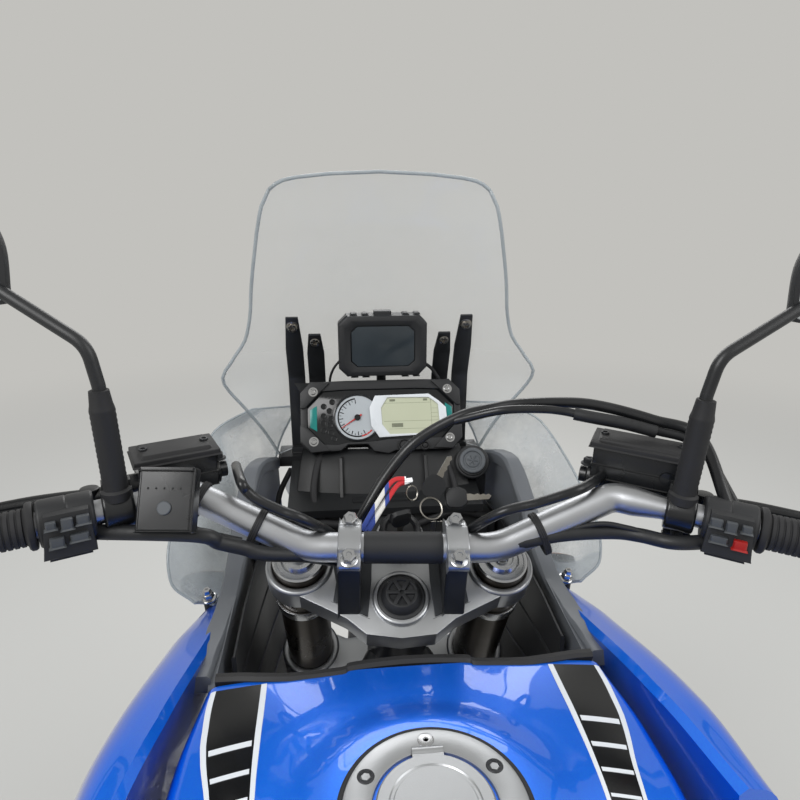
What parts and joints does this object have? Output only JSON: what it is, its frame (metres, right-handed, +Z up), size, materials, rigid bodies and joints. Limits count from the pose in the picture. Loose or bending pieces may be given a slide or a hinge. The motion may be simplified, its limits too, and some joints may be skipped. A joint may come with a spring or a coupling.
{
  "type": "adventure motorcycle",
  "caption": "Adventure touring motorcycle with a tall clear screen, wire-spoke wheels and shaft drive, parked upright on its centre stand with the bar turned slightly right.",
  "frame": {"origin": "centre of the machine's bounding box at floor level, on the floor between the front tyre and the centre stand's feet", "axes": "+X to the rider's right, +Y forwards along the machine, +Z up"},
  "size_m": [0.9656, 2.2495, 1.468],
  "materials": {
    "blue_paint": "gloss metallic",
    "blue_panel": "gloss metallic",
    "black_plastic": "fine grain",
    "clear_screen": "polished clear polycarbonate",
    "black_frame": "satin powder coat",
    "silver_cast": "satin lacquer over a fine cast skin",
    "silver_bar": "satin anodised",
    "dark_cast": "satin paint",
    "engine_grey": "satin paint",
    "fork_bronze": "hard anodised",
    "chrome": "polished",
    "steel": "brushed",
    "rubber": "matt",
    "tyre": "matt",
    "seat_cover": "grained vinyl",
    "lamp_glass": "polished",
    "red_lens": "polished",
    "amber_lens": "polished",
    "white_plate": "satin"
  },
  "bodies": {
    "chassis": {"airbox": "black_plastic", "axles": "steel", "cluster": "black_plastic", "cockpit": "black_frame", "edge_strip": "rubber", "engine": "engine_grey", "engine_covers": "dark_cast", "exhaust": "steel", "filler_ring": "silver_cast", "final_drive": "dark_cast", "footpegs": "silver_cast", "frame": "black_frame", "fuel_tank": "blue_paint", "gps": "black_plastic", "headlamps": "lamp_glass", "indicators": "amber_lens", "inner_fairing": "black_plastic", "nose": "blue_panel", "number_plate": "white_plate", "pedals": "steel", "pillion_seat": "seat_cover", "rack": "dark_cast", "radiator": "dark_cast", "rear_caliper": "dark_cast", "rear_guard": "black_plastic", "rear_shock": "dark_cast", "rider_seat": "seat_cover", "screen_arms": "black_frame", "side_panels": "blue_panel", "silencer": "steel", "skid_plate": "silver_cast", "swingarm": "dark_cast", "tail_bracket": "black_plastic", "tail_cowl": "black_plastic", "tail_lamp": "red_lens", "wind_deflectors": "clear_screen", "windscreen": "clear_screen"},
    "steering": {"top_clamp": "silver_cast", "bar_clamps": "silver_cast", "lower_clamp": "silver_cast", "fork_tubes": "fork_bronze", "fork_legs": "chrome", "front_calipers": "dark_cast", "front_mudguard": "black_plastic", "handlebar": "silver_bar", "grips": "rubber", "switchgear": "black_plastic", "master_cylinders": "black_frame", "hand_levers": "dark_cast", "mirrors": "black_plastic"},
    "front_wheel": {"front_tyre": "tyre", "front_rim": "dark_cast", "front_discs": "steel"},
    "rear_wheel": {"rear_tyre": "tyre", "rear_rim": "dark_cast", "rear_disc": "steel"},
    "centre_stand": {"centre_stand": "black_frame"},
    "side_stand": {"side_stand": "black_frame"},
    "fuel_lid": {"fuel_lid": "silver_cast"}
  },
  "joints": [
    {"name": "steering_turn", "type": "hinge", "parent": "chassis", "child": "steering", "pos_m": [0, 0.45722, 0.87412], "axis": [0, -0.4695, 0.8829], "range_deg": [-31.5, 38.5]},
    {"name": "front_wheel_spin", "type": "hinge", "parent": "steering", "child": "front_wheel", "pos_m": [0.00264, 0.79593, 0.32896], "axis": [0.9981, -0.0539, -0.0287], "continuous": true},
    {"name": "rear_wheel_spin", "type": "hinge", "parent": "chassis", "child": "rear_wheel", "pos_m": [0, -0.744, 0.343], "axis": [1, 0, 0], "continuous": true},
    {"name": "centre_stand_fold", "type": "hinge", "parent": "chassis", "child": "centre_stand", "pos_m": [0, -0.135, 0.285], "axis": [-1, 0, 0], "range_deg": [0, 80]},
    {"name": "side_stand_swing", "type": "hinge", "parent": "chassis", "child": "side_stand", "pos_m": [-0.218, 0.045, 0.306], "axis": [0.9422, 0, -0.3351], "range_deg": [0, 105]},
    {"name": "fuel_lid_hinge", "type": "hinge", "parent": "chassis", "child": "fuel_lid", "pos_m": [0, 0.175, 1.056], "axis": [-1, 0, 0], "range_deg": [0, 95]}
  ]
}
